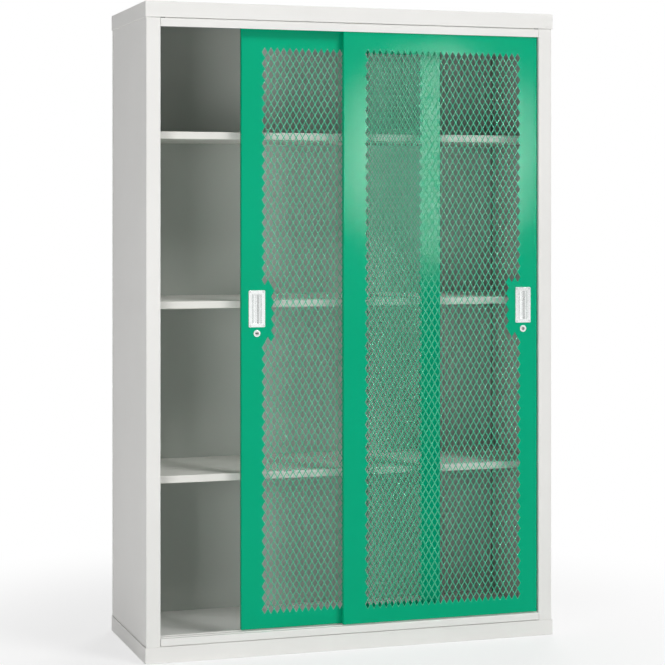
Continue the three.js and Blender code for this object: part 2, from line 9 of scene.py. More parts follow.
import bmesh
import bpy
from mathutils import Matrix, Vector


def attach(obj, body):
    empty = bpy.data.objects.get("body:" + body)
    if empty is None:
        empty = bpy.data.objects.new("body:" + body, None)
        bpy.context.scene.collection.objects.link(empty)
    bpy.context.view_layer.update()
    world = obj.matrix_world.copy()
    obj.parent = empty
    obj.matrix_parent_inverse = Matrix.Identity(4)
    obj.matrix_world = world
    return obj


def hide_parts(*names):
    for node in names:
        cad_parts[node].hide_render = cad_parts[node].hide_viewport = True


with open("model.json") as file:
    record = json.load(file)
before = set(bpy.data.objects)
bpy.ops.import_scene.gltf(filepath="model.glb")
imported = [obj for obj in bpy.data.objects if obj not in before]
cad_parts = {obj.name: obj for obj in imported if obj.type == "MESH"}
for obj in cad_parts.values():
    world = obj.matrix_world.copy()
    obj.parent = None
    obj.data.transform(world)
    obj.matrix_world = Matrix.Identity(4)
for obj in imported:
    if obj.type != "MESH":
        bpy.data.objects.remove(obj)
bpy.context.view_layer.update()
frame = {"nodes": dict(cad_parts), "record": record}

MM = 0.001
X, Y, Z = 0, 1, 2

# Points this close are merged, a cut this close to a point goes through it, and places this close
# are the same; places found by their distance from a middle are the same within ROUGHLY
MERGED, CUT_TO, SAME, ROUGHLY = 0.02, 0.01, 0.05, 0.1
# Two faces that meet at more than this are a fold, in radians; the mesh's slopes are flatter
FOLDED = 1

# Carcass: its outside, the body behind the bands, the stiles and the rails between the jambs
WIDTH, DEPTH, HEIGHT = 1226, 459, 1830
CAP_BAND, BASE_BAND, SKIRT, HEM_ROUND = 44, 45, 2.4, 0.9
SHEET, BEND, EDGE = 1.2, 2.2, 0.3
BODY_X, BODY_Y, BODY_LOW, BODY_TOP = 610, 226.5, 1.5, 1828.5
JAMB_X, JAMB_BACK, JAMB_LIP, REAR_FLANGE = 569, -171.5, 12, 20
BACK_X, BACK_FACE, BACK_SHEET, BACK_EDGE = 611, 224.2, 0.8, 0.2
RAIL_X, FASCIA_LOW, HEAD_SHELF, HEAD_SHELF_BACK, SILL_TOP = 568.7, 1761, 1806.5, -178, 66
# Dark joints under the cap and over the base, where the rails' sheet is set back
CAP_GROOVE, BASE_GROOVE, GROOVE_DEEP, GROOVE_ROUND = 1.3, 2.6, 4, 0.5

# Shelves
SHELF_TOPS = (507.5, 996, 1473)
SHELF_X, SHELF_FRONT, SHELF_BACK = 599.5, -158.5, 223.2
SHELF_SHEET, SHELF_BEND, SHELF_LIP = 1, 1.8, 21

# Doors: their trays and places, and the plain margin between the closing edge and the mesh
DOOR_WIDTH, DOOR_THICK, DOOR_LIP, DOOR_BEND = 600, 16, 10, 2
DOOR_LOW, DOOR_TOP = 70.3, 1768
FRONT_DOOR, REAR_DOOR = -222.5, -201.5
RIGHT_DOOR_EDGE, LEFT_DOOR_EDGE = 565, -330.994
RIGHT_MARGIN, LEFT_MARGIN = 52, 59

# Mesh: its field, one diamond's steps, and the strand's flat, slope and drop beside each opening
MESH_WIDTH, MESH_HEIGHT, MESH_COLUMNS, MESH_ROWS, FOOT_MARGIN = 484, 1605, 26, 50, 39
MESH_LOW = DOOR_LOW + FOOT_MARGIN
MESH_TOP = MESH_LOW + MESH_HEIGHT
STEP_X, STEP_Z = MESH_WIDTH / MESH_COLUMNS, MESH_HEIGHT / MESH_ROWS
STRAND_FLAT, STRAND_SLOPE, STRAND_DROP = 0.45, 0.8, 0.45
# The middles of the field's outermost edges are off its border by more than the first, in
# millimetres, and by less than the second, as a share of a step
OFF_BORDER, OUTERMOST = 1, 0.265
# A face lies flat in the door where its normal points out by more than FLAT, and is a strand's
# slope where it points out by less than that and more than LEANING
FLAT, LEANING = 0.98, 0.3

# Plain tab and the holes in the doors, each hole by half its size
TAB_REACH, TAB_LOW, TAB_TOP = 96, 876, 1058
CUP_HOLE_X, CUP_HOLE_Z, LOCK_HOLE, LOCK_FRAME = 15.1, 42.6, 8.4, 12
ROLLER_FROM_EDGE, ROLLER_SLOT_X, ROLLER_SLOT_Y = 70, 10.3, 5.5
GUIDE_FROM_EDGE, GUIDE_SLOT = 35, 3.2
CAM_SLOT_LOW, CAM_SLOT_TOP, CAM_SLOT_FRONT, CAM_SLOT_BACK = 896.7, 948.5, 11.4, 14.6

# Handles: the plate, the trough and the rivets with their pin holes
HANDLE_FROM_EDGE, HANDLE_Z, HANDLE_WIDE, HANDLE_TALL, HANDLE_PROUD = 45, 974, 48, 104, 1.8
HANDLE_CORNER, HANDLE_WALL, HANDLE_EDGE = 2.5, 1.5, 0.45
RECESS_WIDE, RECESS_TALL, RECESS_DEEP, RECESS_FLAT = 27, 82, 10, 0.3
RIVET, RIVET_X, RIVET_Z, RIVET_PROUD, RIVET_HEAD, RIVET_ROUND = 2.6, 19.5, 47.5, 2.4, 0.8, 0.5
PIN_HOLE, PIN_LIP, PIN_DEEP = 1.6, 0.15, 1.4

# Locks: height, radii of head, barrel, bore, plug, stud and screw, then how far each part reaches
LOCK_Z, LOCK_HEAD, LOCK_BARREL, LOCK_BORE, LOCK_PLUG, STUD, SCREW = 904.5, 10, 8, 5.4, 5.1, 3, 4.5
LOCK_PROUD, LOCK_BACK, HEAD_GAP, HEAD_ROUND, BORE_ROUND = 2.8, 11.9, 0.3, 0.8, 0.4
PLUG_SUNK, PLUG_RIM, PLUG_ROUND, STUD_LONG, SCREW_HIGH = 0.2, 0.8, 0.5, 2.2, 1.2
KEYWAY, KEYWAY_MOUTH, KEYWAY_DEEP = (2.4, 7.6), 0.5, 5

# Studio: strengths, of which 1 is white, for the soft light, for the walls that gloss sees and for
# the card's glow, then the card's middle and radius
SOFT_LIGHT, BRIGHT_WALL, DIM_WALL, FAR_LEFT_WALL, CARD_GLOW = 0.15, 1.2, 0.05, 0.9, 49
CARD_MIDDLE, CARD_RADIUS, FLOOR_SIDE = (1345, -3000, 1479), 580, 30000

# Camera: the photograph's width, focal length and horizon in pixels, then place and turn in degrees
PHOTO_WIDTH, FOCAL_LENGTH, HORIZON, SENSOR = 665, 1947.2, 208.1, 36
CAMERA_PLACE, CAMERA_TURN = (-1789.1, -5487.4, 1258), -18.10


# Tools of the trade

def metres(point):
    return tuple(value * MM for value in point)


def settle(name, size):
    """Name the new primitive, give it its size and leave its place in its mesh."""
    piece = bpy.context.object
    piece.name = piece.data.name = name
    piece.scale = size
    bpy.ops.object.transform_apply(location=True, rotation=True, scale=True)
    return piece


def add_flat(name, centre, size, facing="front"):
    """A flat sheet of that size at that place, facing the front, the right or the top."""
    turns = {"front": (90, 0, 0), "right": (90, 0, 90), "top": (0, 0, 0)}
    bpy.ops.object.select_all(action="DESELECT")
    bpy.ops.mesh.primitive_plane_add(
        size=1, location=metres(centre), rotation=[math.radians(turn) for turn in turns[facing]])
    return settle(name, (size[0] * MM, size[1] * MM, 1))


def add_round(name, sides, radius, middle, front, back):
    """A round bar of that radius about a middle in X and Z, between its front and its back."""
    bpy.ops.object.select_all(action="DESELECT")
    bpy.ops.mesh.primitive_cylinder_add(
        vertices=sides, radius=radius * MM, depth=(back - front) * MM, rotation=(math.pi / 2, 0, 0),
        location=metres((middle[0], (front + back) / 2, middle[1])))
    return settle(name, (1, 1, 1))


def edit(piece):
    """Open the piece, and only that one, in edit mode."""
    bpy.ops.object.select_all(action="DESELECT")
    piece.select_set(True)
    bpy.context.view_layer.objects.active = piece
    bpy.ops.object.mode_set(mode="EDIT")


def leave():
    bpy.ops.object.mode_set(mode="OBJECT")


def copy_moved(piece, move):
    """A copy of the piece with its own mesh, moved by that much."""
    other = piece.copy()
    other.data = piece.data.copy()
    bpy.context.collection.objects.link(other)
    edit(other)
    bpy.ops.mesh.select_all(action="SELECT")
    bpy.ops.transform.translate(value=metres(move))
    leave()
    return other


def join(first, *others):
    """Make one piece of them all, under the first one's name."""
    bpy.ops.object.select_all(action="DESELECT")
    for piece in (first, *others):
        piece.select_set(True)
    bpy.context.view_layer.objects.active = first
    bpy.ops.object.join()
    return first


def pick(kind, test):
    """In edit mode, select only the faces, edges or points whose middle (in mm) passes the test."""
    bpy.ops.mesh.select_mode(type=kind)
    bpy.ops.mesh.select_all(action="DESELECT")
    shape = bmesh.from_edit_mesh(bpy.context.object.data)
    parts = {"VERT": shape.verts, "EDGE": shape.edges, "FACE": shape.faces}[kind]
    for part in parts:
        points = [part.co] if kind == "VERT" else [point.co for point in part.verts]
        middle = sum(points, Vector()) / len(points) / MM
        if test(middle, part):
            part.select_set(True)
    shape.select_flush_mode()
    bmesh.update_edit_mesh(bpy.context.object.data)


def near(value, target, within=SAME):
    return abs(value - target) < within


def along(edge, axis):
    """Whether an edge runs along the axis."""
    run = edge.verts[1].co - edge.verts[0].co
    return abs(run[axis]) > 0.99 * run.length


def is_fold(edge):
    """Whether the sheet is folded at the edge."""
    return not edge.is_boundary and edge.calc_face_angle(0) > FOLDED


def fold(*moves):
    """Extrude the selected edges or faces by each move in turn."""
    for move in moves:
        bpy.ops.mesh.extrude_region_move(TRANSFORM_OT_translate={"value": metres(move)})


def squeeze(factors, centre):
    """Scale what is selected by a factor along each axis, about the centre."""
    bpy.ops.transform.resize(value=factors, center_override=metres(centre))


def round_picked(radius, segments=4, what="EDGES"):
    """Round the selected edges, or the selected points of a flat sheet's outline."""
    bpy.ops.mesh.bevel(offset=radius * MM, segments=segments, profile=0.5, affect=what)


def cut(axis, spot):
    """Cut the selected faces square across the axis at that spot."""
    point, normal = [0, 0, 0], [0, 0, 0]
    point[axis], normal[axis] = spot * MM, 1
    bpy.ops.mesh.bisect(plane_co=point, plane_no=normal, threshold=CUT_TO * MM)


def around(middle, half):
    """The low and the high corner of a rectangle, from its middle and half its size."""
    return ([place - reach for place, reach in zip(middle, half)],
            [place + reach for place, reach in zip(middle, half)])


def window(test, lows, highs, axes):
    """Cut the faces that pass the test along a rectangle's sides, and take its inside out."""
    for axis, low, high in zip(axes, lows, highs):
        for spot in (low, high):
            pick("FACE", test)
            cut(axis, spot)
    first, second = axes
    pick("FACE", lambda at, face: test(at, face) and lows[0] < at[first] < highs[0]
         and lows[1] < at[second] < highs[1])
    bpy.ops.mesh.delete(type="FACE")


def merge_doubles():
    bpy.ops.mesh.select_all(action="SELECT")
    bpy.ops.mesh.remove_doubles(threshold=MERGED * MM)


def turn_outwards(outward):
    """Merge doubles, make all faces agree, and point the largest one along the direction given."""
    bpy.ops.mesh.select_mode(type="FACE")
    merge_doubles()
    bpy.ops.mesh.normals_make_consistent(inside=False)
    shape = bmesh.from_edit_mesh(bpy.context.object.data)
    largest = max(shape.faces, key=lambda face: face.calc_area())
    if largest.normal.dot(Vector(outward)) < 0:
        bpy.ops.mesh.flip_normals()


def shade(piece, angle):
    """Shade bends of less than that angle, in degrees, round, and the flats beside them flat."""
    bpy.ops.object.shade_smooth_by_angle(angle=math.radians(angle))
    even = piece.modifiers.new("flats", "WEIGHTED_NORMAL")
    even.keep_sharp, even.weight = True, 100
    bpy.ops.object.modifier_apply(modifier="flats")


def finish_sheet(piece, wall=SHEET, edge=EDGE, angle=35, even=True):
    """Give the folded sheet its wall behind its face, break the cut edges and shade the bends."""
    leave()
    if wall:
        solid = piece.modifiers.new("wall", "SOLIDIFY")
        solid.thickness, solid.offset, solid.use_even_offset = wall * MM, -1, even
        bpy.ops.object.modifier_apply(modifier="wall")
    if edge:
        soft = piece.modifiers.new("edge", "BEVEL")
        soft.width, soft.segments, soft.limit_method = edge * MM, 2, "ANGLE"
        soft.angle_limit = math.radians(50)
        bpy.ops.object.modifier_apply(modifier="edge")
    shade(piece, angle)


def place(piece, body, slot, finish, *nodes):
    """Put the finish on the piece, and say what it rides on and which nodes it stands for."""
    piece.data.materials.clear()
    piece.data.materials.append(finish)
    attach(piece, body)
    if nodes:
        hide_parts(*nodes)


def give(piece, finish, test):
    """Give the faces that pass the test a finish of their own."""
    piece.data.materials.append(finish)
    edit(piece)
    pick("FACE", test)
    piece.active_material_index = len(piece.data.materials) - 1
    bpy.ops.object.material_slot_assign()
    leave()


# Finishes. The Mix node's two colours and its mixed colour are the sockets of these numbers.
ONE, OTHER, MIXED = 6, 7, 2


def linear(code):
    """An sRGB hex colour as the linear colour that the nodes take."""
    values = [int(code[i:i + 2], 16) / 255 for i in (1, 3, 5)]
    return tuple(v / 12.92 if v <= 0.04045 else ((v + 0.055) / 1.055) ** 2.4 for v in values) + (1,)


def add(tree, kind, inputs=None, **settings):
    """Add a node with its settings; an input takes a value or another node's socket."""
    node = tree.nodes.new("ShaderNode" + kind)
    for key, value in settings.items():
        setattr(node, key, value)
    for key, value in (inputs or {}).items():
        if isinstance(value, bpy.types.NodeSocket):
            tree.links.new(value, node.inputs[key])
        else:
            node.inputs[key].default_value = value
    return node


def new_finish(name):
    """A material of that name with nothing in it yet, and its node tree."""
    finish = bpy.data.materials.new(name)
    finish.use_nodes = True
    finish.node_tree.nodes.clear()
    return finish, finish.node_tree


def per_mm(size):
    """The scale of a noise whose features are that many millimetres wide."""
    return 1 / (size * MM)


def stoved_enamel(name, colour, deeper, roughness, shine, peel):
    """Stoved enamel sprayed on steel sheet: a close skin with a trace of orange peel, over sheet
    that isn't dead flat. It gives soft, slightly wavering highlights and an even colour."""
    finish, tree = new_finish(name)
    at = add(tree, "TexCoord").outputs["Object"]
    # the colour drifts by a hair over a hand's breadth, where the spray overlapped
    drift = add(tree, "TexNoise", {"Vector": at, "Scale": per_mm(260), "Detail": 2,
                                   "Roughness": 0.4})
    spray = add(tree, "MapRange", {"Value": drift.outputs["Fac"], "From Min": 0.3, "From Max": 0.7})
    skin = add(tree, "Mix", {"Factor": spray.outputs["Result"], ONE: linear(colour),
                             OTHER: linear(deeper)}, data_type="RGBA")
    # orange peel is about 1 mm across; 3 mm is the finest that shows at this size
    orange_peel = add(tree, "TexNoise", {"Vector": at, "Scale": per_mm(3), "Detail": 2,
                                         "Roughness": 0.5})
    # the sheet waves by a fraction of a millimetre between spot welds, about 180 mm apart
    wave = add(tree, "TexNoise", {"Vector": at, "Scale": per_mm(180), "Detail": 1,
                                  "Roughness": 0.3})
    sheet = add(tree, "Bump", {"Height": wave.outputs["Fac"], "Strength": 0.25, "Distance": 0.004})
    bump = add(tree, "Bump", {"Height": orange_peel.outputs["Fac"], "Strength": peel,
                              "Distance": 0.0003, "Normal": sheet.outputs["Normal"]})
    # hands and cloths leave the gloss a little uneven, in patches as wide as a finger
    rub = add(tree, "TexNoise", {"Vector": at, "Scale": per_mm(22), "Detail": 4, "Roughness": 0.6})
    gloss = add(tree, "MapRange", {"Value": rub.outputs["Fac"], "From Min": 0.3, "From Max": 0.75,
                                   "To Min": roughness - 0.03, "To Max": roughness + 0.05})
    surface = add(tree, "BsdfPrincipled", {
        "Base Color": skin.outputs[MIXED], "Roughness": gloss.outputs["Result"], "IOR": 1.5,
        "Specular IOR Level": shine, "Normal": bump.outputs["Normal"]})
    add(tree, "OutputMaterial", {"Surface": surface.outputs["BSDF"]})
    return finish


def chromed_zinc():
    """Satin chrome on a zinc die casting: near-white metal, finely brushed, with soft reflections
    and handling marks in the gloss."""
    finish, tree = new_finish("satin_chrome_on_zinc")
    at = add(tree, "TexCoord").outputs["Object"]
    # the brushing runs upright; its lines are 0.1 mm apart and drawn 2.5 mm apart to show
    stretch = add(tree, "Mapping", {"Vector": at, "Scale": (1, 1, 0.03)})
    lines = add(tree, "TexNoise", {"Vector": stretch.outputs["Vector"], "Scale": per_mm(2.5),
                                   "Detail": 1})
    marks = add(tree, "TexNoise", {"Vector": at, "Scale": per_mm(12), "Detail": 2,
                                   "Roughness": 0.5})
    gloss = add(tree, "MapRange", {"Value": marks.outputs["Fac"], "From Min": 0.3, "From Max": 0.7,
                                   "To Min": 0.24, "To Max": 0.3})
    tone = add(tree, "Mix", {"Factor": lines.outputs["Fac"], ONE: linear("#fbfdfc"),
                             OTHER: linear("#eff3f2")}, data_type="RGBA")
    bump = add(tree, "Bump", {"Height": lines.outputs["Fac"], "Strength": 0.03,
                              "Distance": 0.0001})
    surface = add(tree, "BsdfPrincipled", {
        "Base Color": tone.outputs[MIXED], "Metallic": 1, "Roughness": gloss.outputs["Result"],
        "Normal": bump.outputs["Normal"]})
    add(tree, "OutputMaterial", {"Surface": surface.outputs["BSDF"]})
    return finish


def zinc_plate():
    """Bright zinc plate on pressed steel: a cool grey metal, cloudy with a trace of yellow."""
    finish, tree = new_finish("bright_zinc_plate_on_steel")
    at = add(tree, "TexCoord").outputs["Object"]
    cloud = add(tree, "TexNoise", {"Vector": at, "Scale": per_mm(12), "Detail": 4,
                                   "Roughness": 0.6})
    tone = add(tree, "Mix", {"Factor": cloud.outputs["Fac"], ONE: linear("#c9cccd"),
                             OTHER: linear("#b4b3a8")}, data_type="RGBA")
    gloss = add(tree, "MapRange", {"Value": cloud.outputs["Fac"], "From Min": 0.3, "From Max": 0.7,
                                   "To Min": 0.3, "To Max": 0.45})
    # the plating's grain is finer than 0.1 mm and drawn 1.2 mm wide to show
    grain = add(tree, "TexNoise", {"Vector": at, "Scale": per_mm(1.2), "Detail": 2})
    bump = add(tree, "Bump", {"Height": grain.outputs["Fac"], "Strength": 0.1, "Distance": 0.0002})
    surface = add(tree, "BsdfPrincipled", {
        "Base Color": tone.outputs[MIXED], "Metallic": 1, "Roughness": gloss.outputs["Result"],
        "Normal": bump.outputs["Normal"]})
    add(tree, "OutputMaterial", {"Surface": surface.outputs["BSDF"]})
    return finish


def drawn_aluminium():
    """Extruded aluminium, left as drawn: a soft grey metal with die lines along its length."""
    finish, tree = new_finish("extruded_aluminium")
    at = add(tree, "TexCoord").outputs["Object"]
    # die lines are 0.3 mm apart and drawn 1.5 mm apart to show
    stretch = add(tree, "Mapping", {"Vector": at, "Scale": (0.01, 1, 1)})
    lines = add(tree, "TexNoise", {"Vector": stretch.outputs["Vector"], "Scale": per_mm(1.5),
                                   "Detail": 3})
    tone = add(tree, "Mix", {"Factor": lines.outputs["Fac"], ONE: linear("#cdcfd1"),
                             OTHER: linear("#b6b8ba")}, data_type="RGBA")
    bump = add(tree, "Bump", {"Height": lines.outputs["Fac"], "Strength": 0.15,
                              "Distance": 0.0002})
    surface = add(tree, "BsdfPrincipled", {
        "Base Color": tone.outputs[MIXED], "Metallic": 1, "Roughness": 0.42,
        "Normal": bump.outputs["Normal"]})
    add(tree, "OutputMaterial", {"Surface": surface.outputs["BSDF"]})
    return finish


def moulded_nylon():
    """Moulded natural nylon: milky, waxy off-white with a faint mottle."""
    finish, tree = new_finish("moulded_natural_nylon")
    at = add(tree, "TexCoord").outputs["Object"]
    mottle = add(tree, "TexNoise", {"Vector": at, "Scale": per_mm(8), "Detail": 3})
    tone = add(tree, "Mix", {"Factor": mottle.outputs["Fac"], ONE: linear("#ece9df"),
                             OTHER: linear("#dedacb")}, data_type="RGBA")
    # the mould's spark grain is 0.1 mm wide and drawn 1 mm wide to show
    grain = add(tree, "TexNoise", {"Vector": at, "Scale": per_mm(1), "Detail": 2})
    bump = add(tree, "Bump", {"Height": grain.outputs["Fac"], "Strength": 0.08,
                              "Distance": 0.0002})
    surface = add(tree, "BsdfPrincipled", {
        "Base Color": tone.outputs[MIXED], "Roughness": 0.45, "IOR": 1.53,
        "Subsurface Weight": 0.1, "Subsurface Scale": 0.002, "Normal": bump.outputs["Normal"]})
    add(tree, "OutputMaterial", {"Surface": surface.outputs["BSDF"]})
    return finish


def buffer_rubber():
    """Moulded black rubber: dull, with grey bloom and dust."""
    finish, tree = new_finish("moulded_black_rubber")
    at = add(tree, "TexCoord").outputs["Object"]
    bloom = add(tree, "TexNoise", {"Vector": at, "Scale": per_mm(6), "Detail": 5,
                                   "Roughness": 0.7})
    tone = add(tree, "Mix", {"Factor": bloom.outputs["Fac"], ONE: linear("#222324"),
                             OTHER: linear("#3a3a39")}, data_type="RGBA")
    bump = add(tree, "Bump", {"Height": bloom.outputs["Fac"], "Strength": 0.3, "Distance": 0.0003})
    surface = add(tree, "BsdfPrincipled", {
        "Base Color": tone.outputs[MIXED], "Roughness": 0.85, "Normal": bump.outputs["Normal"]})
    add(tree, "OutputMaterial", {"Surface": surface.outputs["BSDF"]})
    return finish


def painted_hole_shade():
    """Near-black for the insides of keyways and rivet pin holes: painted shade, where nearly no
    light comes back out.
    """
    finish, tree = new_finish("painted_hole_shade")
    at = add(tree, "TexCoord").outputs["Object"]
    shade_mottle = add(tree, "TexNoise", {"Vector": at, "Scale": per_mm(1.5), "Detail": 3})
    tone = add(tree, "Mix", {"Factor": shade_mottle.outputs["Fac"], ONE: linear("#101110"),
                             OTHER: linear("#1e1f1d")}, data_type="RGBA")
    surface = add(tree, "BsdfPrincipled", {"Base Color": tone.outputs[MIXED], "Roughness": 0.5})
    add(tree, "OutputMaterial", {"Surface": surface.outputs["BSDF"]})
    return finish


# outside, in full coats: warm pale grey with a satin sheen
PALE = stoved_enamel("pale_grey_stoved_enamel", "#efeeeb", "#ecebe8",
                     roughness=0.42, shine=0.4, peel=0.35)
# inside: a darker, greyer and duller coat; the darker grey is painted shade for the shaded interior
PAINTED_SHADE_INSIDE = stoved_enamel("grey_enamel_painted_shade_inside", "#c3c7c1", "#bec2bc",
                       roughness=0.5, shine=0.4, peel=0.35)
# the doors: deep emerald, flowed out to a high gloss that mirrors only bright things
GREEN = stoved_enamel("emerald_green_stoved_enamel", "#00ac80", "#00a97c",
                      roughness=0.09, shine=0.06, peel=0.1)
# the strands' sloping sides: a paler and duller green, a painted sheen for the light their glossy
# rounded edges catch
STRANDS_PAINTED_SHEEN = stoved_enamel("paler_green_painted_sheen_on_strands", "#6ccaa6", "#62c49f",
                        roughness=0.3, shine=0.2, peel=0.1)
# the shelves: a light grey, a little duller than the carcass
SHELF = stoved_enamel("light_grey_shelf_enamel", "#ebeae5", "#e7e6e0",
                      roughness=0.45, shine=0.4, peel=0.35)
CHROME, ZINC, ALUMINIUM = chromed_zinc(), zinc_plate(), drawn_aluminium()
NYLON, RUBBER, HOLE_SHADE = moulded_nylon(), buffer_rubber(), painted_hole_shade()


# Carcass

def band(name, low, high, closed_at_top):
    """Cap or base: one sheet with its rim turned through a right angle and hemmed back inside."""
    bpy.ops.object.select_all(action="DESELECT")
    bpy.ops.mesh.primitive_cube_add(size=1, location=(0, 0, (low + high) / 2 * MM))
    piece = settle(f"{name}_sheet", metres((WIDTH, DEPTH, high - low)))
    open_z, flat_z = (low, high) if closed_at_top else (high, low)
    inward = 1 if closed_at_top else -1
    edit(piece)
    pick("FACE", lambda at, face: near(at.z, open_z))
    bpy.ops.mesh.inset(thickness=SKIRT * MM)
    fold((0, 0, (high - low - SHEET) * inward))
    pick("EDGE", lambda at, edge: along(edge, Z) and near(abs(at.x), WIDTH / 2))
    round_picked(BEND)
    pick("EDGE", lambda at, edge: near(at.z, flat_z))
    round_picked(BEND)
    pick("FACE", lambda at, face: near(at.z, open_z))
    bpy.ops.mesh.region_to_loop()
    round_picked(HEM_ROUND, 3)
    finish_sheet(piece, wall=0, edge=0, angle=40)
    place(piece, "cabinet", "pale_enamel", PALE, name)


def side_panel(name, hand, door_face):
    """Wall, front stile, jamb with the lock's slot, inner lip and rear flange, from one sheet."""
    piece = add_flat(f"{name}_sheet", (hand * BODY_X, 0, (BODY_LOW + BODY_TOP) / 2),
                     (2 * BODY_Y, BODY_TOP - BODY_LOW), "right")
    edit(piece)
    pick("EDGE", lambda at, edge: near(at.y, -BODY_Y))
    fold((hand * (JAMB_X - BODY_X), 0, 0), (0, JAMB_BACK + BODY_Y, 0), (hand * JAMB_LIP, 0, 0))
    pick("EDGE", lambda at, edge: near(at.y, BODY_Y))
    fold((-hand * REAR_FLANGE, 0, 0))
    window(lambda at, face: near(abs(at.x), JAMB_X), (door_face + CAM_SLOT_FRONT, CAM_SLOT_LOW),
           (door_face + CAM_SLOT_BACK, CAM_SLOT_TOP), (Y, Z))
    turn_outwards((hand, 0, 0))
    pick("EDGE", lambda at, edge: along(edge, Z) and is_fold(edge))
    round_picked(BEND)
    finish_sheet(piece)
    place(piece, "cabinet", "pale_enamel", PALE, name)
    # the wall's inner face gets the darker grey, painted shade for the cabinet's interior
    give(piece, PAINTED_SHADE_INSIDE, lambda at, face: near(at.x, hand * (BODY_X - SHEET))
         and face.normal.x * hand < -0.9)


def folded_rail(name, front, low, groove, path):
    """A rail across the front: the first strip stands upright, each fold follows the path, and the
    sheet is set back where it goes behind the cap or the base, which leaves a dark joint there."""
    piece = add_flat(f"{name}_sheet", (0, front, (low + groove) / 2), (2 * RAIL_X, groove - low))
    edit(piece)
    pick("EDGE", lambda at, edge: near(at.z, groove))
    fold(*path)
    turn_outwards((0, -1, 0))
    pick("EDGE", lambda at, edge: along(edge, X) and not edge.is_boundary
         and not near(at.z, groove))
    round_picked(BEND)
    pick("EDGE", lambda at, edge: along(edge, X) and not edge.is_boundary and near(at.z, groove))
    round_picked(GROOVE_ROUND, 2)
    finish_sheet(piece)
    place(piece, "cabinet", "pale_enamel", PALE, name)


def back_sheet():
    """The back: one flat sheet inside the rear flanges, pale outside, and inside the darker grey of
    painted shade.
    """
    piece = add_flat("back_panel_sheet", (0, BACK_FACE, (BODY_LOW + BODY_TOP) / 2),
                     (2 * BACK_X, BODY_TOP - BODY_LOW))
    edit(piece)
    turn_outwards((0, -1, 0))
    finish_sheet(piece, wall=BACK_SHEET, edge=BACK_EDGE)
    place(piece, "cabinet", "pale_enamel", PALE, "back_panel")
    # the back's inner face gets the darker grey, painted shade for the cabinet's interior
    give(piece, PAINTED_SHADE_INSIDE, lambda at, face: face.normal.y < -0.5)


def shelf_tray(name, top):
    """A shelf: a flat sheet with its four lips turned down."""
    piece = add_flat(f"{name}_tray", (0, (SHELF_FRONT + SHELF_BACK) / 2, top),
                     (2 * SHELF_X, SHELF_BACK - SHELF_FRONT), "top")
    edit(piece)
    pick("EDGE", lambda at, edge: True)
    fold((0, 0, -SHELF_LIP))
    turn_outwards((0, 0, 1))
    pick("EDGE", lambda at, edge: not edge.is_boundary)
    round_picked(SHELF_BEND)
    finish_sheet(piece, wall=SHELF_SHEET)
    place(piece, "cabinet", "shelf_enamel", SHELF, name)


band("top_cap", HEIGHT - CAP_BAND, HEIGHT, closed_at_top=True)
band("base_tray", 0, BASE_BAND, closed_at_top=False)
side_panel("left_side_panel", -1, REAR_DOOR)
side_panel("right_side_panel", 1, FRONT_DOOR)
cap_joint, base_joint = HEIGHT - CAP_BAND - CAP_GROOVE, BASE_BAND + BASE_GROOVE
folded_rail("head_rail", -BODY_Y, FASCIA_LOW, cap_joint,
            ((0, GROOVE_DEEP, 0), (0, 0, HEAD_SHELF - cap_joint),
             (0, HEAD_SHELF_BACK + BODY_Y - GROOVE_DEEP, 0), (0, 0, BODY_TOP - HEAD_SHELF)))
folded_rail("sill_rail", GROOVE_DEEP - BODY_Y, BODY_LOW, base_joint,
            ((0, -GROOVE_DEEP, 0), (0, 0, SILL_TOP - base_joint), (0, JAMB_BACK + BODY_Y, 0),
             (0, 0, BODY_LOW - SILL_TOP)))
back_sheet()
for number, shelf_top in enumerate(SHELF_TOPS, 1):
    shelf_tray(f"shelf_{number}", shelf_top)


# Doors

def diamond_field(name, left, face):
    """The pierced field: one diamond is shaped, then repeated in two staggered sets."""
    bpy.ops.object.select_all(action="DESELECT")
    bpy.ops.mesh.primitive_circle_add(
        vertices=4, radius=1, fill_type="NGON", rotation=(math.pi / 2, 0, 0),
        location=metres((left + STEP_X / 2, face, MESH_LOW + STEP_Z / 2)))
    first = settle(name, metres((STEP_X / 2, STEP_Z / 2, 1)))
    edit(first)
    turn_outwards((0, -1, 0))
    bpy.ops.mesh.inset(thickness=STRAND_FLAT * MM)
    bpy.ops.mesh.inset(thickness=STRAND_SLOPE * MM, depth=-STRAND_DROP * MM)
    bpy.ops.mesh.delete(type="FACE")
    leave()
    second = copy_moved(first, (STEP_X / 2, 0, STEP_Z / 2))
    for piece, across, up in ((first, MESH_COLUMNS, MESH_ROWS),
                              (second, MESH_COLUMNS - 1, MESH_ROWS - 1)):
        bpy.ops.object.select_all(action="DESELECT")
        bpy.context.view_layer.objects.active = piece
        for count, step in ((across, (STEP_X, 0, 0)), (up, (0, 0, STEP_Z))):
            row = piece.modifiers.new("row", "ARRAY")
            row.use_relative_offset, row.use_constant_offset = False, True
            row.constant_offset_displace, row.count = metres(step), count
            bpy.ops.object.modifier_apply(modifier="row")
    return join(first, second)


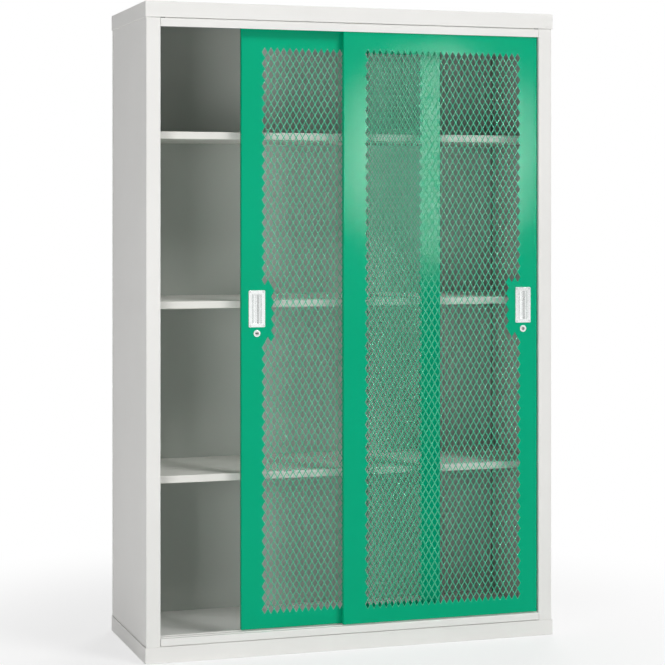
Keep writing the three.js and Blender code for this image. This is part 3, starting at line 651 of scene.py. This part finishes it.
def door_skin(side, hand, closing_edge, face, margin):
    """A door: its face pierced but for the margins and the tab round the lock, its four rims folded
    back and their lips turned in, with holes for handle, lock, cam, rollers and guides."""
    mesh_edge = closing_edge - hand * margin
    door_left, door_right = sorted((closing_edge, closing_edge - hand * DOOR_WIDTH))
    tab_left, tab_right = sorted((closing_edge, closing_edge - hand * TAB_REACH))
    left = min(mesh_edge, mesh_edge - hand * MESH_WIDTH)
    right = left + MESH_WIDTH

    def on_side(at):
        return near(at.x, door_left) or near(at.x, door_right)

    def on_end(at):
        return near(at.z, DOOR_LOW) or near(at.z, DOOR_TOP)

    def in_tab(at):
        return tab_left < at.x < tab_right and TAB_LOW < at.z < TAB_TOP

    def is_plain(at, part):
        return (in_tab(at) or (at.x - mesh_edge) * hand > -ROUGHLY) and len(part.verts) > 3

    piece = diamond_field(f"{side}_door_sheet", left, face)
    edit(piece)
    merge_doubles()

    # the notches round the field are filled up to a straight line, foot and head, then the sides
    for edge_z, inward in ((MESH_LOW, 1), (MESH_TOP, -1)):
        pick("EDGE", lambda at, edge: edge.is_boundary
             and OFF_BORDER < (at.z - edge_z) * inward < STEP_Z * OUTERMOST)
        fold((0, 0, 0))
        squeeze((1, 1, 0), (0, face, edge_z))
    for edge_x, inward in ((left, 1), (right, -1)):
        pick("EDGE", lambda at, edge: edge.is_boundary and not along(edge, X)
             and OFF_BORDER < (at.x - edge_x) * inward < STEP_X * OUTERMOST)
        fold((0, 0, 0))
        squeeze((0, 1, 1), (edge_x, face, 0))
    merge_doubles()

    # plain margins out to the rims
    for start, reach in ((MESH_LOW, DOOR_LOW - MESH_LOW), (MESH_TOP, DOOR_TOP - MESH_TOP)):
        pick("EDGE", lambda at, edge: edge.is_boundary and near(at.z, start, ROUGHLY))
        fold((0, 0, reach))
    for start, reach in ((left, door_left - left), (right, door_right - right)):
        pick("EDGE", lambda at, edge: edge.is_boundary and near(at.x, start, ROUGHLY))
        fold((reach, 0, 0))

    # each margin becomes one face
    for in_margin in (lambda at, part: at.x < left, lambda at, part: at.x > right,
                      lambda at, part: at.z < MESH_LOW, lambda at, part: at.z > MESH_TOP):
        pick("FACE", in_margin)
        bpy.ops.mesh.dissolve_faces()
    pick("VERT", lambda at, point: point.is_boundary and len(point.link_edges) == 2
         and on_side(at) != on_end(at))
    bpy.ops.mesh.dissolve_verts()

    # the tab round handle and lock is left plain: its diamonds lose their slopes and are filled
    pick("FACE", lambda at, part: in_tab(at) and part.normal.y > -FLAT
         and abs(part.normal.y) > LEANING)
    bpy.ops.mesh.delete(type="FACE")
    pick("EDGE", lambda at, edge: edge.is_boundary and in_tab(at))
    bpy.ops.mesh.fill_holes(sides=4)
    turn_outwards((0, -1, 0))
    pick("FACE", lambda at, part: in_tab(at) and left < at.x < right and part.normal.y < -FLAT)
    bpy.ops.mesh.dissolve_faces()

    # holes for the handle's cup and for the lock's barrel
    handle_x = closing_edge - hand * HANDLE_FROM_EDGE
    window(is_plain, *around((handle_x, HANDLE_Z), (CUP_HOLE_X, CUP_HOLE_Z)), (X, Z))
    window(is_plain, *around((handle_x, LOCK_Z), (LOCK_FRAME, LOCK_FRAME)), (X, Z))
    bpy.ops.mesh.primitive_circle_add(vertices=20, radius=LOCK_HOLE * MM,
                                      rotation=(math.pi / 2, 0, 0),
                                      location=metres((handle_x, face, LOCK_Z)))
    pick("EDGE", lambda at, edge: len(edge.link_faces) < 2 and abs(at.x - handle_x) < LOCK_FRAME + 1
         and abs(at.z - LOCK_Z) < LOCK_FRAME + 1)
    bpy.ops.mesh.fill()

    # rims and lips
    pick("EDGE", lambda at, edge: edge.is_boundary and (on_side(at) or on_end(at)))
    fold((0, DOOR_THICK, 0), (0, 0, 0))
    tall = DOOR_TOP - DOOR_LOW
    squeeze(((DOOR_WIDTH - 2 * DOOR_LIP) / DOOR_WIDTH, 1, (tall - 2 * DOOR_LIP) / tall),
            ((door_left + door_right) / 2, face, (DOOR_LOW + DOOR_TOP) / 2))
    turn_outwards((0, -1, 0))

    # slots: in the foot for the rollers, in the head for the guides' spigots, in the edge for the
    # lock's cam
    for from_edge, z, half in ((ROLLER_FROM_EDGE, DOOR_LOW, (ROLLER_SLOT_X, ROLLER_SLOT_Y)),
                               (GUIDE_FROM_EDGE, DOOR_TOP, (GUIDE_SLOT, GUIDE_SLOT))):
        for inset in (from_edge, DOOR_WIDTH - from_edge):
            middle = (closing_edge - hand * inset, face + DOOR_THICK / 2)
            window(lambda at, part: near(at.z, z), *around(middle, half), (X, Y))
    window(lambda at, part: near(at.x, closing_edge), (face + CAM_SLOT_FRONT, CAM_SLOT_LOW),
           (face + DOOR_THICK - DOOR_BEND - SAME, CAM_SLOT_TOP), (Y, Z))

    pick("EDGE", lambda at, edge: is_fold(edge) and (on_side(at) or on_end(at)))
    round_picked(DOOR_BEND, 3)
    finish_sheet(piece, edge=0, angle=40, even=False)
    place(piece, f"{side}_door", "green_enamel", GREEN, f"{side}_door_skin")

    # the strands' sloping sides are paler: the paler green is a painted sheen, where their glossy
    # edges would catch light
    give(piece, STRANDS_PAINTED_SHEEN, lambda at, part: LEANING < abs(part.normal.y) < FLAT
         and left < at.x < right and MESH_LOW < at.z < MESH_TOP)
    return piece


left_skin = door_skin("left", -1, LEFT_DOOR_EDGE, REAR_DOOR, LEFT_MARGIN)
right_skin = door_skin("right", 1, RIGHT_DOOR_EDGE, FRONT_DOOR, RIGHT_MARGIN)


# Handles and locks

def flush_pull(side, x, face):
    """A cast plate with a round-bottomed trough for the fingers."""
    front, half = face - HANDLE_PROUD, RECESS_WIDE / 2
    piece = add_flat(f"{side}_pull", (x, front, HANDLE_Z), (HANDLE_WIDE, HANDLE_TALL))
    edit(piece)
    for axis, middle, reach in ((X, x, half), (Z, HANDLE_Z, RECESS_TALL / 2)):
        for spot in (middle - reach, middle + reach):
            bpy.ops.mesh.select_all(action="SELECT")
            cut(axis, spot)
    pick("FACE", lambda at, part: near(at.x, x) and near(at.z, HANDLE_Z))
    fold((0, half, 0))
    pick("EDGE", lambda at, edge: near(at.y, front + half) and along(edge, Z))
    round_picked(half - RECESS_FLAT, 12)
    pick("VERT", lambda at, point: at.y > front + SAME)
    squeeze((1, RECESS_DEEP / half, 1), (x, front, HANDLE_Z))
    pick("VERT", lambda at, point: near(abs(at.x - x), HANDLE_WIDE / 2)
         and near(abs(at.z - HANDLE_Z), HANDLE_TALL / 2))
    round_picked(HANDLE_CORNER, 4, "VERTICES")
    turn_outwards((0, -1, 0))
    finish_sheet(piece, wall=HANDLE_WALL, edge=HANDLE_EDGE, angle=40)
    place(piece, f"{side}_door", "chromed_zinc", CHROME, f"{side}_handle")


def handle_rivets(side, x, face):
    """Four small blind rivets near the plate's corners, each with the hole of its pin painted dark
    as shade.
    """
    front, corner_x, corner_z = face - RIVET_PROUD, x - RIVET_X, HANDLE_Z - RIVET_Z
    first = add_round(f"{side}_handle_rivets", 16, RIVET, (corner_x, corner_z),
                      front, front + RIVET_HEAD)
    edit(first)
    pick("FACE", lambda at, part: near(at.y, front))
    bpy.ops.mesh.inset(thickness=(RIVET - PIN_HOLE - PIN_LIP) * MM)
    bpy.ops.mesh.inset(thickness=PIN_LIP * MM)
    fold((0, PIN_DEEP, 0))
    pick("EDGE", lambda at, edge: near(at.y, front)
         and near(math.hypot(at.x - corner_x, at.z - corner_z), RIVET, ROUGHLY))
    round_picked(RIVET_ROUND, 3)
    leave()
    shade(first, 50)
    rivets = join(first, *[copy_moved(first, (across, 0, up))
                           for across, up in ((0, 2 * RIVET_Z), (2 * RIVET_X, 0),
                                              (2 * RIVET_X, 2 * RIVET_Z))])
    place(rivets, f"{side}_door", "zinc_plate", ZINC)
    # the pin holes are painted near-black: painted shade in the holes
    give(rivets, HOLE_SHADE, lambda at, part: at.y > front + ROUGHLY
         and math.hypot(abs(at.x - x) - RIVET_X, abs(at.z - HANDLE_Z) - RIVET_Z) < PIN_HOLE + SAME)


def lock_barrel(side, x, face):
    """The lock's barrel with its round head in front of the door, bored for the plug."""
    front, back = face - LOCK_PROUD, face - HEAD_GAP

    def from_middle(at):
        return math.hypot(at.x - x, at.z - LOCK_Z)

    piece = add_round(f"{side}_lock_ring", 40, LOCK_HEAD, (x, LOCK_Z), front, back)
    edit(piece)
    pick("FACE", lambda at, part: near(at.y, front))
    bpy.ops.mesh.inset(thickness=(LOCK_HEAD - LOCK_BORE) * MM)
    pick("FACE", lambda at, part: near(at.y, back))
    bpy.ops.mesh.inset(thickness=(LOCK_HEAD - LOCK_BARREL) * MM)
    fold((0, LOCK_BACK + HEAD_GAP, 0))
    bpy.ops.mesh.inset(thickness=(LOCK_BARREL - LOCK_BORE) * MM)
    pick("FACE", lambda at, part: near(from_middle(at), 0) and len(part.verts) > 4)
    bpy.ops.mesh.bridge_edge_loops()
    for radius, rounding, segments in ((LOCK_HEAD, HEAD_ROUND, 4), (LOCK_BORE, BORE_ROUND, 2)):
        pick("EDGE", lambda at, edge: near(at.y, front) and near(from_middle(at), radius, ROUGHLY))
        round_picked(rounding, segments)
    leave()
    shade(piece, 40)
    place(piece, f"{side}_door", "chromed_zinc", CHROME, f"{side}_lock_barrel")


def lock_plug(side, x, face, keyway):
    """The plug that the key turns: a bevelled face with the keyway sunk into it, and at the back
    the stud and screw head that hold the cam."""
    front, shoulder = face - LOCK_PROUD + PLUG_SUNK, face + LOCK_BACK
    wide, tall = keyway[0] / 2, keyway[1] / 2

    def from_middle(at):
        return math.hypot(at.x - x, at.z - LOCK_Z)

    piece = add_round(f"{side}_lock_core", 40, LOCK_PLUG, (x, LOCK_Z), front, shoulder)
    edit(piece)
    pick("FACE", lambda at, part: near(at.y, shoulder))
    bpy.ops.mesh.inset(thickness=(LOCK_PLUG - STUD) * MM)
    fold((0, STUD_LONG, 0), (0, 0, 0))
    squeeze((SCREW / STUD, 1, SCREW / STUD), (x, shoulder + STUD_LONG, LOCK_Z))
    fold((0, SCREW_HIGH, 0))
    pick("FACE", lambda at, part: near(at.y, front))
    bpy.ops.mesh.inset(thickness=PLUG_RIM * MM)
    window(lambda at, part: near(at.y, front) and from_middle(at) < LOCK_PLUG - PLUG_RIM,
           *around((x, LOCK_Z), (wide, tall)), (X, Z))
    pick("EDGE", lambda at, edge: edge.is_boundary)
    fold((0, KEYWAY_MOUTH, 0), (0, KEYWAY_DEEP, 0))
    bpy.ops.mesh.fill()
    pick("EDGE", lambda at, edge: near(at.y, front)
         and near(from_middle(at), LOCK_PLUG, ROUGHLY))
    round_picked(PLUG_ROUND, 3)
    leave()
    shade(piece, 40)
    place(piece, f"{side}_lock", "chromed_zinc", ZINC, f"{side}_lock_plug")
    # the keyway's walls and floor are painted near-black: painted shade in the keyway
    bottom = front + KEYWAY_MOUTH + KEYWAY_DEEP
    give(piece, HOLE_SHADE, lambda at, part: front + ROUGHLY < at.y < bottom + ROUGHLY
         and abs(at.x - x) < wide + ROUGHLY and abs(at.z - LOCK_Z) < tall + ROUGHLY)


# the keyway stands level in the left lock and upright in the right one
for side, hand, closing_edge, face, keyway in (
        ("left", -1, LEFT_DOOR_EDGE, REAR_DOOR, KEYWAY[::-1]),
        ("right", 1, RIGHT_DOOR_EDGE, FRONT_DOOR, KEYWAY)):
    handle_x = closing_edge - hand * HANDLE_FROM_EDGE
    flush_pull(side, handle_x, face)
    handle_rivets(side, handle_x, face)
    lock_barrel(side, handle_x, face)
    lock_plug(side, handle_x, face, keyway)


# Finishes of the nodes that stay

FINISH_OF_SLOT = {"pale_enamel": PALE, "green_enamel": GREEN, "shelf_enamel": SHELF,
                  "chromed_zinc": CHROME, "zinc_plate": ZINC, "aluminium": ALUMINIUM,
                  "nylon": NYLON, "rubber": RUBBER}
for subpart in frame["record"]["subparts"]:
    node = frame["nodes"][subpart["node"]]
    node.data.materials.clear()
    node.data.materials.append(FINISH_OF_SLOT[subpart["material_slot"]])
# the floor rails are enamelled with the sill
for floor_rail in ("front_floor_rail", "rear_floor_rail"):
    frame["nodes"][floor_rail].data.materials[0] = PALE


# Floor, light and camera

def white_floor():
    """A plain white floor that keeps the shadow and runs out into the white background."""
    floor = add_flat("floor", (0, 0, 0), (FLOOR_SIDE, FLOOR_SIDE), "top")
    finish, tree = new_finish("white_studio_floor")
    at = add(tree, "TexCoord").outputs["Object"]
    reach = add(tree, "VectorMath", {0: at}, operation="LENGTH")
    # distances from the cabinet's middle are in metres
    fade = add(tree, "MapRange", {"Value": reach.outputs["Value"], "From Min": 0.6,
                                  "From Max": 1.7, "To Min": 0.68},
               interpolation_type="SMOOTHSTEP")
    seen = add(tree, "LightPath")
    shown = add(tree, "Math", {0: seen.outputs["Is Camera Ray"],
                               1: seen.outputs["Is Glossy Ray"]}, operation="MAXIMUM")
    far = add(tree, "Math", {0: fade.outputs["Result"], 1: shown.outputs[0]},
              operation="MULTIPLY")
    paint = add(tree, "BsdfDiffuse", {"Color": linear("#f7f7f7")})
    white = add(tree, "Emission", {"Color": (1, 1, 1, 1), "Strength": 1})
    mixed = add(tree, "MixShader", {0: far.outputs[0], 1: paint.outputs[0], 2: white.outputs[0]})
    add(tree, "OutputMaterial", {"Surface": mixed.outputs[0]})
    floor.data.materials.append(finish)


def studio_world():
    """White to the camera, and to gloss that looks behind the object; gloss that looks forward sees
    a bright wall on the right and at the far left, with a dim one between. What lights the object
    is a plain soft grey."""
    world = bpy.data.worlds.new("studio")
    world.use_nodes = True
    bpy.context.scene.world = world
    tree = world.node_tree
    tree.nodes.clear()
    seen = add(tree, "LightPath")
    facing = add(tree, "SeparateXYZ", {0: add(tree, "TexCoord").outputs["Generated"]})
    walls = add(tree, "MapRange", {"Value": facing.outputs["X"], "From Min": -0.25,
                                   "From Max": 0.22, "To Min": DIM_WALL, "To Max": BRIGHT_WALL},
                interpolation_type="SMOOTHSTEP")
    behind = add(tree, "MapRange", {"Value": facing.outputs["Y"], "From Min": 0, "From Max": 0.2},
                 interpolation_type="SMOOTHSTEP")
    far_left = add(tree, "MapRange", {"Value": facing.outputs["X"], "From Min": -0.5,
                                      "From Max": -0.8, "To Max": FAR_LEFT_WALL},
                   interpolation_type="SMOOTHSTEP")
    sides = add(tree, "Math", {0: walls.outputs["Result"], 1: far_left.outputs["Result"]},
                operation="MAXIMUM")
    room = add(tree, "Math", {0: sides.outputs[0], 1: behind.outputs["Result"]},
               operation="MAXIMUM")
    glossy = add(tree, "Math", {0: seen.outputs["Is Glossy Ray"], 1: room.outputs[0]},
                 operation="MULTIPLY")
    clear = add(tree, "Math", {0: seen.outputs["Is Camera Ray"],
                               1: seen.outputs["Is Transmission Ray"]}, operation="MAXIMUM")
    white = add(tree, "Math", {0: clear.outputs[0], 1: glossy.outputs[0]}, operation="MAXIMUM")
    level = add(tree, "Math", {0: white.outputs[0], 1: SOFT_LIGHT}, operation="MAXIMUM")
    sky = add(tree, "Background", {"Color": (1, 1, 1, 1), "Strength": level.outputs[0]})
    add(tree, "OutputWorld", {"Surface": sky.outputs[0]})


def reflector():
    """A bright round card, seen only in the gloss of the doors' enamel: it leaves a pale patch."""
    bpy.ops.object.select_all(action="DESELECT")
    bpy.ops.mesh.primitive_circle_add(vertices=64, radius=1, fill_type="NGON",
                                      location=metres(CARD_MIDDLE),
                                      rotation=(-math.pi / 2, 0, 0))
    card = settle("reflector", metres((CARD_RADIUS, CARD_RADIUS, 1)))
    finish, tree = new_finish("bright_card")
    at = add(tree, "TexCoord").outputs["Object"]
    spread = add(tree, "Mapping", {"Vector": at, "Location": metres(-v for v in CARD_MIDDLE)})
    reach = add(tree, "VectorMath", {0: spread.outputs["Vector"]}, operation="LENGTH")
    # the glow falls off towards the card's rim, over distances in metres
    fall = add(tree, "MapRange", {"Value": reach.outputs["Value"], "From Min": 0.36,
                                  "From Max": 0.54, "To Min": CARD_GLOW, "To Max": 0})
    glow = add(tree, "Emission", {"Strength": fall.outputs["Result"]})
    add(tree, "OutputMaterial", {"Surface": glow.outputs[0]})
    card.data.materials.append(finish)
    card.visible_camera = card.visible_diffuse = card.visible_shadow = False
    doors = bpy.data.collections.new("doors")
    doors.objects.link(left_skin)
    doors.objects.link(right_skin)
    card.light_linking.receiver_collection = doors


def lamp(name, spot, target, wide, tall, watts, glossy=True):
    """A soft box aimed at the target and kept out of the camera's sight; its spot, target, width
    and height are in metres."""
    data = bpy.data.lights.new(name, "AREA")
    data.shape, data.size, data.size_y, data.energy = "RECTANGLE", wide, tall, watts
    box = bpy.data.objects.new(name, data)
    bpy.context.collection.objects.link(box)
    box.location = spot
    box.rotation_euler = (Vector(target) - Vector(spot)).to_track_quat("-Z", "Y").to_euler()
    box.visible_camera = False
    box.visible_glossy = glossy


def photo_camera():
    """The photograph's shift-lens view."""
    data = bpy.data.cameras.new("camera")
    data.sensor_width = SENSOR
    data.lens = FOCAL_LENGTH / PHOTO_WIDTH * SENSOR
    data.shift_y = (HORIZON - PHOTO_WIDTH / 2) / PHOTO_WIDTH
    camera = bpy.data.objects.new("camera", data)
    bpy.context.collection.objects.link(camera)
    camera.location = metres(CAMERA_PLACE)
    camera.rotation_euler = (math.pi / 2, 0, math.radians(CAMERA_TURN))
    bpy.context.scene.camera = camera


white_floor()
studio_world()
reflector()
lamp("key", spot=(3.0, -4.9, 6.2), target=(0, 0, 1), wide=2.4, tall=2.4, watts=304)
lamp("fill", spot=(-3.1, -4.0, 0.9), target=(-0.4, 0, 0.6), wide=1.6, tall=1.8, watts=82,
     glossy=False)
lamp("rear", spot=(2.6, 4.6, 3.4), target=(0, 0, 1), wide=2.4, tall=2.4, watts=150, glossy=False)
photo_camera()
bpy.context.scene.view_settings.view_transform = "Standard"
